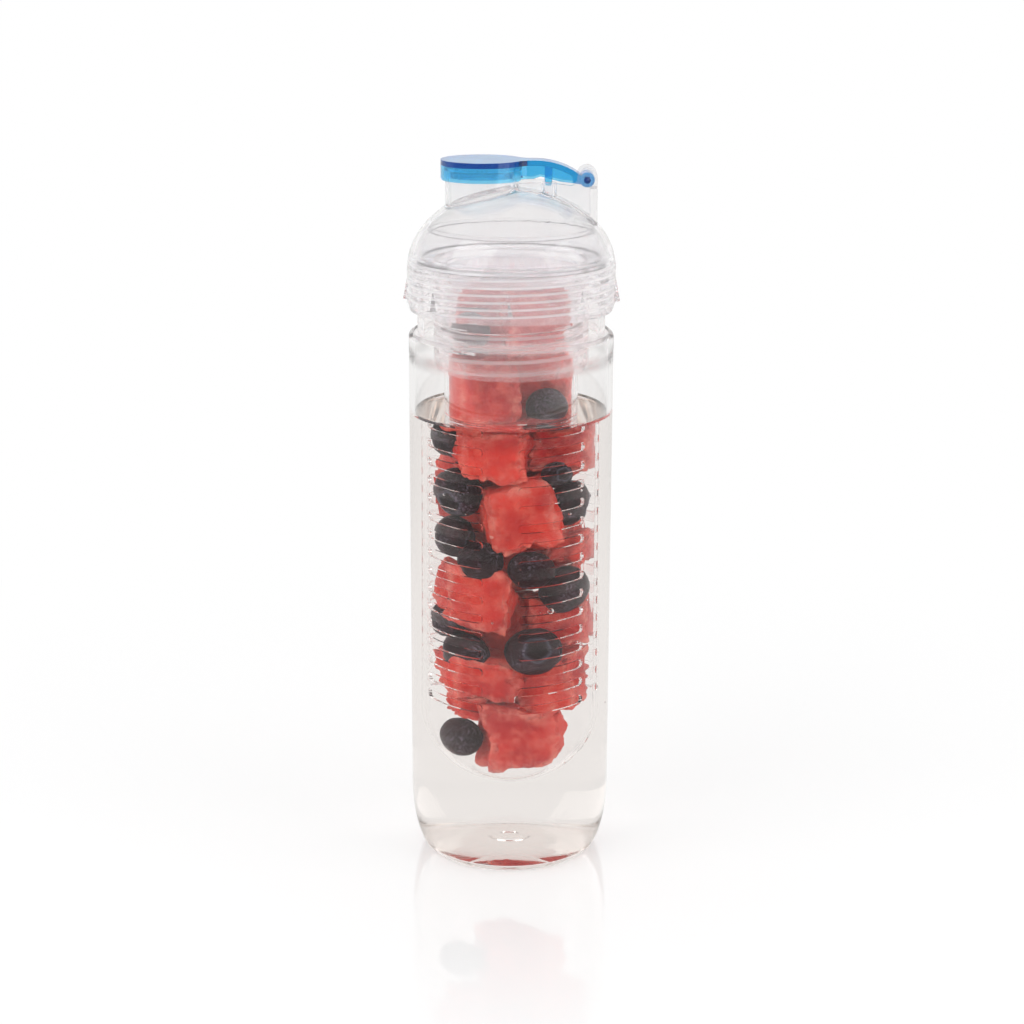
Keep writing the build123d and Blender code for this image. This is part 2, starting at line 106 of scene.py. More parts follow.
class Value:
    """A socket that adds Math nodes when it is used in an expression."""

    def __init__(self, shader, socket):
        self.shader = shader
        self.socket = socket

    def _math(self, operation, first, second):
        return self.shader.node("ShaderNodeMath", {"operation": operation}, {0: first, 1: second})

    def __add__(self, other):
        return self._math("ADD", self, other)

    __radd__ = __add__

    def __sub__(self, other):
        return self._math("SUBTRACT", self, other)

    def __rsub__(self, other):
        return self._math("SUBTRACT", other, self)

    def __mul__(self, other):
        return self._math("MULTIPLY", self, other)

    __rmul__ = __mul__

    def __truediv__(self, other):
        return self._math("DIVIDE", self, other)

    def __pow__(self, other):
        return self._math("POWER", self, other)

    def above(self, limit):
        return self._math("GREATER_THAN", self, limit)

    def below(self, limit):
        return self._math("LESS_THAN", self, limit)

    def at_least(self, limit):
        return self._math("MAXIMUM", self, limit)

    def ramp(self, low, high):
        """0 at `low` and 1 at `high`, smoothly between."""
        return self.shader.node(
            "ShaderNodeMapRange",
            {"interpolation_type": "SMOOTHSTEP"},
            {"Value": self, "From Min": low, "From Max": high},
        )


class Shader:
    """A node material, built by naming each node's settings and inputs."""

    def __init__(self, name):
        self.material = bpy.data.materials.new(name)
        self.material.use_nodes = True
        self.tree = self.material.node_tree
        self.tree.nodes.clear()
        self.output = self.tree.nodes.new("ShaderNodeOutputMaterial")

    def node(self, kind, settings=None, inputs=None, output=0):
        made = self.tree.nodes.new(kind)
        for key, setting in (settings or {}).items():
            setattr(made, key, setting)
        for key, value in (inputs or {}).items():
            self.set(made.inputs[key], value)
        return Value(self, made.outputs[output])

    def set(self, socket, value):
        if isinstance(value, Value):
            self.tree.links.new(value.socket, socket)
        elif isinstance(value, tuple) and len(value) == 3 and socket.type == "RGBA":
            socket.default_value = (*value, 1.0)
        else:
            socket.default_value = value

    def coordinates(self):
        return self.node("ShaderNodeTexCoord", output="Object")

    def place(self, axis):
        return self.node("ShaderNodeSeparateXYZ", {}, {0: self.coordinates()}, output=axis)

    def attribute(self, name):
        return self.node("ShaderNodeAttribute", {"attribute_name": name}, output="Fac")

    def height(self):
        return self.place("Z")

    def radius(self):
        """Distance from the bottle's axis."""
        x = self.place("X")
        y = self.place("Y")
        return (x * x + y * y) ** 0.5

    def band(self, rise, fall):
        """1 between two heights, each given as the start and the end of its fade."""
        return self.height().ramp(*rise) * (1 - self.height().ramp(*fall))

    def thread_lines(self, pitch, starts):
        """1 along the crests of a right-handed thread and 0 between them."""
        angle = self.node(
            "ShaderNodeMath", {"operation": "ARCTAN2"}, {0: self.place("Y"), 1: self.place("X")}
        )
        phase = (self.height() / pitch - angle / (2 * math.pi)) * float(starts)
        away = self.node("ShaderNodeMath", {"operation": "PINGPONG"}, {0: phase, 1: 0.5})
        return 1 - away.ramp(0.07, 0.2)

    def noise(self, scale, detail=2.0, roughness=0.5):
        return self.node(
            "ShaderNodeTexNoise",
            {"noise_dimensions": "3D"},
            {
                "Vector": self.coordinates(),
                "Scale": scale,
                "Detail": detail,
                "Roughness": roughness,
            },
        )

    def cells(self, scale):
        """Distance from the middle of the nearest of many scattered cells."""
        return self.node(
            "ShaderNodeTexVoronoi",
            {"feature": "F1"},
            {"Vector": self.coordinates(), "Scale": scale},
        )

    def blend(self, factor, first, second):
        """Mixes two colours."""
        made = self.tree.nodes.new("ShaderNodeMix")
        made.data_type = "RGBA"
        self.set(made.inputs["Factor"], factor)
        self.set(made.inputs[6], first)
        self.set(made.inputs[7], second)
        return Value(self, made.outputs[2])

    def bump(self, height, strength, distance):
        return self.node(
            "ShaderNodeBump",
            {},
            {"Strength": strength, "Distance": distance, "Height": height},
            "Normal",
        )

    def principled(self, **inputs):
        names = {key.replace("_", " "): value for key, value in inputs.items()}
        return self.node("ShaderNodeBsdfPrincipled", {}, names)

    def mix(self, factor, first, second):
        return self.node("ShaderNodeMixShader", {}, {0: factor, 1: first, 2: second})

    def finish(self, surface, volume=None):
        self.set(self.output.inputs["Surface"], surface)
        if volume:
            self.set(self.output.inputs["Volume"], volume)
        return self.material


# Finishes

def polished(s, colour, roughness, ior, ripple):
    """Clear moulding with faint flow ripples in the surface and slightly uneven gloss."""
    uneven = s.noise(55.0, 2.0).ramp(0.35, 0.75)
    return s.principled(
        Base_Color=colour,
        Roughness=uneven * (roughness * 0.8) + roughness * 0.6,
        IOR=ior,
        Transmission_Weight=1.0,
        Normal=s.bump(s.noise(26.0, 1.0), ripple, 0.0006),
    )


def scatter(s, colour):
    """Light scattered inside cloudy plastic: some comes back, the rest goes on softly."""
    back = s.node("ShaderNodeBsdfDiffuse", {}, {"Color": colour})
    onwards = s.node("ShaderNodeBsdfTranslucent", {}, {"Color": colour})
    return s.mix(0.5, back, onwards)


def inside_body_wall(s):
    """1 on the body's inner side and 0 on its outer side, told apart halfway through the wall."""
    radius = s.radius()
    corner = FOOT_RADIUS + BODY_WALL / 4
    across = (radius - corner).at_least(0.0) / (BODY_RADIUS - BODY_WALL / 2 - corner)
    dish = (BASE_DISH - radius * radius * (BASE_DISH / FOOT_RADIUS**2)).at_least(0.0)
    drop = (FOOT_CURVE + dish - s.height()).at_least(0.0) / (FOOT_CURVE - BASE_WALL / 2)
    return (across * across + drop * drop).below(1.0)


def body_plastic():
    """The bottle: where water touches the inner side, light bends far less there."""
    s = Shader("clear_plastic")
    colour = (0.997, 0.996, 0.995)
    gloss = 0.012
    ripple = 0.04
    dry = polished(s, colour, gloss, PLASTIC_IOR, ripple)
    wet = polished(s, colour, gloss, WET_IOR, ripple)
    soft_edged = polished(s, colour, gloss, SHOULDER_IOR, ripple)
    upper = s.mix(s.height().ramp(*NECK_CLEARS), dry, soft_edged)
    under_water = s.height().below(WATER_LEVEL + 0.8 * MM)
    clear = s.mix(inside_body_wall(s) * under_water, upper, wet)
    neck = s.height().ramp(*NECK_HAZES)
    shoulder = s.band(SHOULDER_FROM, SHOULDER_TO)
    haze = neck * 0.06 + shoulder * 0.2
    return s.finish(s.mix(haze, clear, scatter(s, (0.98, 0.975, 0.98))))


def lid_plastic():
    """Polished dome over a threaded skirt, which looks whiter where the ridges scatter light."""
    s = Shader("lid_plastic")
    skirt = 1 - s.height().ramp(*SKIRT_TO)
    threaded = s.band(LID_THREAD_FROM, LID_THREAD_TO)
    lines = threaded * s.thread_lines(LID_THREAD_PITCH, LID_THREAD_STARTS)
    cloud = s.noise(30.0, 2.0).ramp(0.3, 0.7)
    haze = skirt * 0.05 + lines * 0.3 + cloud * 0.015 + 0.06
    clear = polished(s, (0.998, 0.996, 0.999), 0.02, LID_IOR, 0.05)
    return s.finish(s.mix(haze, clear, scatter(s, (0.98, 0.975, 0.985))))


def basket_plastic():
    """The basket stands in the water up to its surface, so its lower part shows only faintly."""
    s = Shader("basket_plastic")
    colour = (0.997, 0.995, 0.996)
    dry = polished(s, colour, 0.02, PLASTIC_IOR, 0.05)
    wet = polished(s, colour, 0.015, BASKET_WET_IOR, 0.05)
    return s.finish(s.mix(s.height().above(WATER_LEVEL), wet, dry))


def milky_plastic(name, haze):
    """Cloudy natural polypropylene: part of the light scatters, the rest passes softly."""
    s = Shader(name)
    cloud = s.noise(40.0, 3.0).ramp(0.3, 0.7)
    threaded = s.band(COLLAR_THREAD_FROM, COLLAR_THREAD_TO)
    lines = threaded * s.thread_lines(BASKET_THREAD_PITCH, BASKET_THREAD_STARTS)
    clear = s.principled(
        Base_Color=(0.997, 0.994, 0.997),
        Roughness=cloud * 0.04 + 0.04,
        IOR=MILKY_IOR,
        Transmission_Weight=1.0,
    )
    white = scatter(s, (0.99, 0.975, 0.985))
    return s.finish(s.mix(lines * 0.22 + cloud * 0.04 + haze, clear, white))


def blue_plastic(name, depth):
    """Blue tinted plastic: thin walls look cyan, and light along a wall turns indigo."""
    s = Shader(name)
    uneven = s.noise(90.0, 2.0).ramp(0.35, 0.75)
    clear = s.principled(
        Base_Color=(0.42, 0.86, 1.0),
        Roughness=uneven * 0.03 + 0.03,
        IOR=BLUE_IOR,
        Transmission_Weight=1.0,
        Normal=s.bump(s.noise(60.0, 1.0), 0.05, 0.0004),
    )
    pigment = s.node("ShaderNodeBsdfDiffuse", {}, {"Color": (0.03, 0.28, 0.9)})
    tint = s.node(
        "ShaderNodeVolumeAbsorption", {}, {"Color": (0.0, 0.73, 0.885), "Density": depth}
    )
    return s.finish(s.mix(uneven * 0.03 + 0.05, clear, pigment), tint)


def silicone():
    """Soft translucent silicone with a fine matt skin."""
    s = Shader("silicone")
    skin = s.noise(900.0, 2.0)
    surface = s.principled(
        Base_Color=(0.98, 0.975, 0.98),
        Roughness=skin * 0.1 + 0.1,
        IOR=SILICONE_IOR,
        Transmission_Weight=0.95,
        Normal=s.bump(skin, 0.15, 0.0001),
    )
    return s.finish(surface)


def water():
    """Only the water's surface bends light: under it, the walls' own wet side does.

    The surface is left out inside the basket's wall, where there is plastic and no water.
    """
    s = Shader("water")
    surface = s.principled(
        Base_Color=(0.985, 0.975, 0.965),
        Roughness=0.0,
        IOR=WATER_IOR,
        Transmission_Weight=1.0,
        Normal=s.bump(s.noise(18.0, 1.0), 0.03, 0.0006),
    )
    side = s.node("ShaderNodeBsdfTransparent", {}, {"Color": (0.972, 0.955, 0.943)})
    unseen = s.node("ShaderNodeBsdfTransparent", {}, {"Color": (1.0, 1.0, 1.0)})
    radius = s.radius()
    basket_wall = radius.above(BASKET_RADIUS - BASKET_WALL) * radius.below(BASKET_RADIUS)
    top = s.height().above(WATER_LEVEL - 0.1 * MM)
    return s.finish(s.mix(top, side, s.mix(basket_wall, surface, unseen)))


def air_bubble():
    """Air in water bends light the other way: a bubble has a dark rim and a bright middle."""
    s = Shader("air_bubble")
    surface = s.principled(
        Base_Color=(1.0, 1.0, 1.0),
        Roughness=s.noise(400.0).ramp(0.3, 0.9) * 0.02,
        IOR=BUBBLE_IOR,
        Transmission_Weight=1.0,
    )
    return s.finish(surface)


def watermelon():
    """Red wet flesh: deep and bright patches, cloudy cells, pale flecks, and painted light along
    the chunk's edges: a pale pink glow where light would shine through the thin flesh.
    """
    s = Shader("watermelon")
    patches = s.noise(48.0, 2.0, 0.45).ramp(0.36, 0.62)
    cloud = s.noise(210.0, 4.0, 0.62).ramp(0.4, 0.72)
    grain = s.noise(850.0, 3.0, 0.6).ramp(0.35, 0.75)
    fleck = s.cells(85.0).below(0.06)
    rim = s.attribute("rim")
    flesh = s.blend(patches, (0.42, 0.006, 0.009), (0.66, 0.036, 0.024))
    fibrous = s.blend(cloud * 0.42 + grain * 0.12, flesh, (0.76, 0.18, 0.13))
    # Painted light: the flesh pales to pink towards the chunk's edges, a painted glow standing in
    # for light passing through the thin flesh there.
    torn_and_glowing_edges = s.blend(rim * (cloud * 0.4 + 0.15), fibrous, (0.82, 0.36, 0.29))
    surface = s.principled(
        Base_Color=s.blend(fleck * 0.45, torn_and_glowing_edges, (0.90, 0.62, 0.54)),
        Roughness=cloud * 0.2 + 0.3,
        IOR=FRUIT_IOR,
        Subsurface_Weight=0.25,
        Subsurface_Radius=(1.0, 0.2, 0.12),
        Subsurface_Scale=0.003,
        Normal=s.bump(grain * 0.5 + cloud * 0.9, 0.55, 0.0006),
    )
    return s.finish(surface)


def blueberry():
    """Dark violet-brown skin with specks of a pale bloom, fewer where it was rubbed off."""
    s = Shader("blueberry")
    bloom = s.noise(130.0, 4.0, 0.62).ramp(0.44, 0.66)
    speck = s.noise(1300.0, 3.0, 0.7).ramp(0.48, 0.62)
    crown = s.attribute("crown")
    tone = s.noise(110.0, 3.0).ramp(0.3, 0.7)
    skin = s.blend(tone, (0.01, 0.002, 0.003), (0.03, 0.006, 0.008))
    bloomed = s.blend(bloom * 0.01 + speck * (bloom * 0.5 + 0.06), skin, (0.26, 0.21, 0.28))
    ringed = s.blend((crown * (1 - crown)) * 1.5, bloomed, (0.20, 0.20, 0.27))
    surface = s.principled(
        Base_Color=s.blend(crown * crown, ringed, (0.016, 0.007, 0.008)),
        Roughness=bloom * 0.25 + 0.3,
        IOR=FRUIT_IOR,
        Normal=s.bump(s.noise(650.0, 3.0) + bloom * 0.4, 0.4, 0.0005),
    )
    return s.finish(surface)


def paint(node, material):
    """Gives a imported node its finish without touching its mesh."""
    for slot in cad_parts[node].material_slots:
        slot.material = material


def dress_nodes():
    blue = blue_plastic("blue_plastic", 420.0)
    soft = silicone()
    paint("bottle_body", body_plastic())
    paint("lid", lid_plastic())
    paint("infuser_basket", basket_plastic())
    paint("infuser_collar", milky_plastic("milky_plastic", 0.1))
    paint("strainer", milky_plastic("strainer_plastic", 0.4))
    paint("flip_cap", blue)
    paint("hinge_pin", blue)
    for node in ("spout_seal", "neck_seal", "collar_seal"):
        paint(node, soft)
    gap = 0.03 * MM
    loosened("spout_seal", gap, "cap", soft)
    loosened("hinge_pin", gap, "cap", blue_plastic("pin_plastic", 1300.0))


# Meshes

def smooth_data(name, mesh):
    """Turns a working mesh into a mesh that is shaded smoothly."""
    data = bpy.data.meshes.new(name)
    mesh.to_mesh(data)
    mesh.free()
    for polygon in data.polygons:
        polygon.use_smooth = True
    return data


def piece_from(mesh, body, material):
    """Links a finished mesh as a piece that rides on a body."""
    mesh.materials.clear()
    mesh.materials.append(material)
    piece = bpy.data.objects.new(mesh.name, mesh)
    bpy.context.scene.collection.objects.link(piece)
    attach(piece, body)
    return piece


def loosened(node, gap, body, material):
    """Stands a copy of a small node in for it, drawn in by a hair from what it touches."""
    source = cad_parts[node]
    mesh = bmesh.new()
    mesh.from_mesh(source.data)
    mesh.transform(source.matrix_world)
    bmesh.ops.remove_doubles(mesh, verts=mesh.verts, dist=0.001 * MM)
    mesh.normal_update()
    for vert in mesh.verts:
        vert.co -= vert.normal * gap
    data = smooth_data(f"{node}_fitted", mesh)
    data.set_sharp_from_angle(angle=math.radians(35))
    piece = piece_from(data, body, material)
    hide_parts(node)


def turned(name, profile, steps):
    """A closed solid turned about the Z axis from a profile that starts and ends on the axis."""
    mesh = bmesh.new()
    rings = []
    for radius, height in profile:
        if radius == 0.0:
            rings.append([mesh.verts.new((0.0, 0.0, height))])
            continue
        ring = []
        for step in range(steps):
            angle = 2 * math.pi * step / steps
            x = radius * math.cos(angle)
            y = radius * math.sin(angle)
            ring.append(mesh.verts.new((x, y, height)))
        rings.append(ring)
    for low, high in zip(rings, rings[1:]):
        for step in range(steps):
            after = (step + 1) % steps
            face = []
            for ring, place in ((low, step), (low, after), (high, after), (high, step)):
                corner = ring[place % len(ring)]
                if corner not in face:
                    face.append(corner)
            mesh.faces.new(face)
    bmesh.ops.recalc_face_normals(mesh, faces=mesh.faces)
    return smooth_data(name, mesh)


def water_profile():
    """Half section of the water: up the bottle's inner wall, a small meniscus, then inwards."""
    wall = BODY_RADIUS - BODY_WALL - WATER_GAP
    floor = BASE_WALL + WATER_GAP
    points = [(0.0, BASE_DISH + floor)]
    dish_steps = 8
    for step in range(1, dish_steps):
        share = step / dish_steps
        points.append((FOOT_RADIUS * share, floor + BASE_DISH * (1 - share**2)))
    curve_steps = 14
    for step in range(curve_steps + 1):
        turn = math.pi / 2 * step / curve_steps
        radius = FOOT_RADIUS + (wall - FOOT_RADIUS) * math.sin(turn)
        points.append((radius, FOOT_CURVE - (FOOT_CURVE - floor) * math.cos(turn)))
    points.append((wall, WATER_LEVEL - 6 * MM))
    meniscus_steps = 7
    for step in range(meniscus_steps + 1):
        share = step / meniscus_steps
        rise = MENISCUS_RISE * (1 - share) ** 3
        points.append((wall - MENISCUS_WIDTH * share, WATER_LEVEL + rise))
    points.append((BASKET_RADIUS, WATER_LEVEL))
    points.append((0.0, WATER_LEVEL))
    return points


def berry_mesh(name, radius, centre, turn, narrow, seed):
    """A blueberry: a slightly flattened ball with a five-lobed crown around a sunk eye."""
    mesh = bmesh.new()
    bmesh.ops.create_icosphere(mesh, subdivisions=5, radius=1.0)
    crown = mesh.verts.layers.float.new("crown")
    crown_angle = 0.46
    flattened = 0.9
    for vert in mesh.verts:
        direction = vert.co.normalized()
        polar = math.acos(max(-1.0, min(1.0, direction.z)))
        around = math.atan2(direction.y, direction.x)
        edge = crown_angle + 0.035 * math.cos(5 * around + seed)
        lift = 0.07 * math.exp(-((polar - edge) / 0.09) ** 2)
        sink = -0.17 * (1 / (1 + math.exp((polar - edge + 0.06) / 0.035)))
        dents = 0.035 * noise.noise(direction * 1.6 + Vector((seed, 0, 0)))
        wrinkle = 0.006 * noise.noise(direction * 9.0 + Vector((0, seed, 0)))
        vert.co = direction * (1.0 + lift + sink + dents + wrinkle)
        vert.co.z *= flattened
        vert[crown] = 1 / (1 + math.exp((polar - edge - 0.02) / 0.035))
    squeezed = Matrix.Scale(narrow, 4, (1, 0, 0)) @ turn.to_matrix().to_4x4()
    mesh.transform(Matrix.Translation(centre) @ squeezed @ Matrix.Scale(radius, 4))
    return smooth_data(name, mesh)


def chunk_mesh(name, size, centre, turn, seed):
    """A knife-cut cube of watermelon: softened corners, uneven sides and a few torn hollows."""
    mesh = bmesh.new()
    bmesh.ops.create_cube(mesh, size=1.0)
    bmesh.ops.bevel(
        mesh, geom=mesh.edges[:], offset=0.09, segments=2, profile=0.6, affect="EDGES"
    )
    bmesh.ops.triangulate(mesh, faces=mesh.faces[:])
    enough_points = 9000
    for _ in range(4):
        bmesh.ops.subdivide_edges(mesh, edges=mesh.edges[:], cuts=1, use_grid_fill=True)
        if len(mesh.verts) > enough_points:
            break
    shift = Vector((seed * 3.7, seed * 1.3, seed * 2.1))
    rim = mesh.verts.layers.float.new("rim")
    for vert in mesh.verts:
        point = vert.co.copy()
        second_largest = sorted(abs(c) for c in point)[1]
        # How near the point is to the cube's edges: it sinks the torn hollows here, and the
        # watermelon material uses it to pale the flesh with painted light.
        vert[rim] = max(0.0, min(1.0, (second_largest - 0.32) / 0.14))
        broad = 0.2 * noise.noise(point * 1.5 + shift)
        middle = 0.09 * noise.noise(point * 4.0 + shift)
        fine = 0.03 * noise.noise(point * 12.0 + shift)
        torn_and_glowing_edges = vert[rim] * (0.04 + 0.12 * noise.noise(point * 7.0 - shift))
        vert.co = point + point.normalized() * (broad + middle + fine - torn_and_glowing_edges)
        vert.co.x *= size[0]
        vert.co.y *= size[1]
        vert.co.z *= size[2]
    mesh.transform(Matrix.Translation(centre) @ turn.to_matrix().to_4x4())
    for vert in mesh.verts:
        keep_inside_basket(vert.co)
    bmesh.ops.recalc_face_normals(mesh, faces=mesh.faces)
    return smooth_data(name, mesh)


def keep_inside_basket(point):
    """Presses a point in where it would reach through the basket's wall or rounded end."""
    limit = BASKET_RADIUS - BASKET_WALL - 0.4 * MM
    radius = math.hypot(point.x, point.y)
    if radius > limit:
        point.x *= limit / radius
        point.y *= limit / radius
        radius = limit
    end_centre = BASKET_BOTTOM + BASKET_RADIUS
    if point.z < end_centre:
        reach = math.hypot(radius, point.z - end_centre)
        if reach > limit:
            point.x *= limit / reach
            point.y *= limit / reach
            point.z = end_centre + (point.z - end_centre) * limit / reach


# (x, y, z) of the middle and (width, depth, height) in mm, turn about Z and tilt about Y in
# degrees. The last three fill the back, which the photograph doesn't show.
MELON = [
    ((-11, -5, 168.5), (21, 24, 22), 8, 0),
    ((10.5, 5, 170), (20, 20, 22), -6, 0),
    ((8.5, -3, 192), (20, 22, 20), 8, 5),
    ((-8, 7, 191), (19, 17, 21), -15, 0),
    ((-4.3, -9, 148), (20, 18, 17.5), -4, 0),
    ((12.0, 5, 149), (16, 20, 16), 6, 4),
    ((3.0, -7.5, 125.2), (19.5, 17, 23.5), 8, -14),
    ((15, 6, 112.5), (11, 16, 11), 0, 10),
    ((-9.3, -5.5, 96.5), (20, 18, 20.5), -6, 8),
    ((12.4, 5, 86), (16, 18, 19), 6, -5),
    ((-8.2, -5, 67), (20, 20, 15), 5, 6),
    ((10.5, 1, 64.4), (18, 20, 19.5), -8, -6),
    ((3.2, -4.5, 45), (21, 20, 23), 4, -3),
    ((-11.5, -6, 56.5), (9, 12, 7.5), 10, 0),
    ((-5, 9, 132), (22, 18, 26), 10, 0),
    ((2, 10, 109), (28, 16, 24), 0, 0),
    ((-4, 10, 82), (22, 18, 22), -5, 0),
]
# (x, y, z) of the middle and the radius in mm, width over height, tilt and turn of the crown
# in degrees
BERRIES = [
    ((12.0, -7.6, 162.6), 7.1, 1.0, 150, 20),
    ((-13.5, -5.5, 188.5), 6.7, 1.0, 40, 120),
    ((-15.6, -1.0, 151.8), 7.6, 0.73, 100, 200),
    ((-14.0, -4.0, 133.0), 8.8, 0.79, 115, 320),
    ((12.5, -5.5, 139.6), 4.6, 1.0, 80, 40),
    ((15.2, 0.0, 128.5), 7.9, 0.76, 105, 100),
    ((-15.0, -2.5, 117.0), 7.5, 0.8, 100, 60),
    ((-8.6, -11.6, 110.2), 7.0, 0.98, 120, 160),
    ((6.0, -12.8, 107.4), 7.0, 1.0, 150, 220),
    ((14.3, -1.5, 97.6), 8.4, 0.83, 120, 150),
    ((-15.9, 1.0, 85.4), 6.9, 0.78, 100, 250),
    ((-12.3, -7.0, 76.0), 7.1, 1.0, 140, 250),
    ((6.7, -10.6, 77.4), 8.4, 1.0, 72, 12),
    ((-13.0, -2.6, 43.2), 7.0, 0.86, 110, 200),
]


def turn_about(angle, tilt, tilt_axis):
    turn = Matrix.Rotation(math.radians(angle), 3, "Z")
    return (turn @ Matrix.Rotation(math.radians(tilt), 3, tilt_axis)).to_quaternion()


def fill_basket():
    melon = watermelon()
    berry = blueberry()
    for number, (centre, size, angle, tilt) in enumerate(MELON, 1):
        mesh = chunk_mesh(
            f"watermelon_{number:02d}",
            [s * MM for s in size],
            Vector(centre) * MM,
            turn_about(angle, tilt, "Y"),
            float(number),
        )
        piece_from(mesh, "basket", melon)
    for number, (centre, radius, narrow, tilt, angle) in enumerate(BERRIES, 1):
        mesh = berry_mesh(
            f"blueberry_{number:02d}",
            radius * MM,
            Vector(centre) * MM,
            turn_about(angle, tilt, "X"),
            narrow,
            (number - 1) * 1.7,
        )
        piece_from(mesh, "basket", berry)


def pour_water():
    mesh = turned("water", water_profile(), 192)
    piece_from(mesh, "bottle", water())


class Tree:
    """A Geometry Nodes tree with named inputs, turned to a plain mesh when it is done."""

    def __init__(self, name, inputs):
        self.tree = bpy.data.node_groups.new(name, "GeometryNodeTree")
        sockets = self.tree.interface
        sockets.new_socket("Geometry", in_out="OUTPUT", socket_type="NodeSocketGeometry")
        self.values = {}
        for key, (kind, value) in inputs.items():
            socket = sockets.new_socket(key, in_out="INPUT", socket_type=kind)
            self.values[socket.identifier] = value
        self.given = self.tree.nodes.new("NodeGroupInput")

    def node(self, kind, settings=None, inputs=None):
        made = self.tree.nodes.new(kind)
        for key, setting in (settings or {}).items():
            setattr(made, key, setting)
        for key, value in (inputs or {}).items():
            if isinstance(value, str):
                value = self.given.outputs[value]
            if isinstance(value, bpy.types.NodeSocket):
                self.tree.links.new(value, made.inputs[key])
            else:
                made.inputs[key].default_value = value
        return made

    def mesh(self, name, geometry):
        """Runs the tree on an empty mesh and returns what it makes."""
        out = self.tree.nodes.new("NodeGroupOutput")
        self.tree.links.new(geometry, out.inputs["Geometry"])
        carrier = bpy.data.objects.new(f"{name}_carrier", bpy.data.meshes.new(f"{name}_carrier"))
        bpy.context.scene.collection.objects.link(carrier)
        modifier = carrier.modifiers.new(name, "NODES")
        modifier.node_group = self.tree
        for identifier, value in self.values.items():
            modifier[identifier] = value
        graph = bpy.context.evaluated_depsgraph_get()
        mesh = bpy.data.meshes.new_from_object(carrier.evaluated_get(graph), depsgraph=graph)
        mesh.name = name
        bpy.data.objects.remove(carrier)
        return mesh


def scatter_bubbles(name, radius, low, high, density, size, seed, body, material):
    """Small air bubbles that cling to a round wall under water."""
    tree = Tree(name, {
        "Wall radius": ("NodeSocketFloat", radius),
        "Wall height": ("NodeSocketFloat", high - low),
        "Wall middle": ("NodeSocketVector", (0.0, 0.0, (low + high) / 2)),
        "Bubbles per square metre": ("NodeSocketFloat", density),
        "Smallest": ("NodeSocketFloat", size * 0.35),
        "Largest": ("NodeSocketFloat", size),
        "Seed": ("NodeSocketInt", seed),
    })
    wall = tree.node(
        "GeometryNodeMeshCylinder",
        {"fill_type": "NONE"},
        {"Vertices": 64, "Radius": "Wall radius", "Depth": "Wall height"},
    )
    placed = tree.node(
        "GeometryNodeTransform",
        {},
        {"Geometry": wall.outputs["Mesh"], "Translation": "Wall middle"},
    )
    points = tree.node(
        "GeometryNodeDistributePointsOnFaces",
        {},
        {
            "Mesh": placed.outputs["Geometry"],
            "Density": "Bubbles per square metre",
            "Seed": "Seed",
        },
    )
    ball = tree.node("GeometryNodeMeshIcoSphere", {}, {"Radius": 1.0, "Subdivisions": 3})
    sizes = tree.node(
        "FunctionNodeRandomValue",
        {"data_type": "FLOAT"},
        {"Min": "Smallest", "Max": "Largest", "Seed": "Seed"},
    )
    bubbles = tree.node(
        "GeometryNodeInstanceOnPoints",
        {},
        {
            "Points": points.outputs["Points"],
            "Instance": ball.outputs["Mesh"],
            "Scale": sizes.outputs[1],
        },
    )
    real = tree.node(
        "GeometryNodeRealizeInstances", {}, {"Geometry": bubbles.outputs["Instances"]}
    )
    smooth = tree.node("GeometryNodeSetShadeSmooth", {}, {"Geometry": real.outputs["Geometry"]})
    coated = tree.node(
        "GeometryNodeSetMaterial",
        {},
        {"Geometry": smooth.outputs["Geometry"], "Material": material},
    )
    piece_from(tree.mesh(name, coated.outputs["Geometry"]), body, material)


def add_bubbles():
    air = air_bubble()
    off_wall = 0.7 * MM
    basket_side = BASKET_RADIUS - BASKET_WALL - off_wall
    body_side = BODY_RADIUS - BODY_WALL - off_wall
    top = 154 * MM
    scatter_bubbles(
        "basket_bubbles", basket_side, 60 * MM, top, 1500.0, 0.6 * MM, 4, "basket", air
    )
    scatter_bubbles(
        "wall_bubbles", body_side, 40 * MM, top, 500.0, 0.45 * MM, 11, "bottle", air
    )
    mesh = bmesh.new()
    place = Matrix.Translation(Vector((12.5, -20.9, 94.5)) * MM)
    bmesh.ops.create_icosphere(mesh, subdivisions=4, radius=1.1 * MM, matrix=place)
    piece_from(smooth_data("large_bubble", mesh), "bottle", air)


# Stage

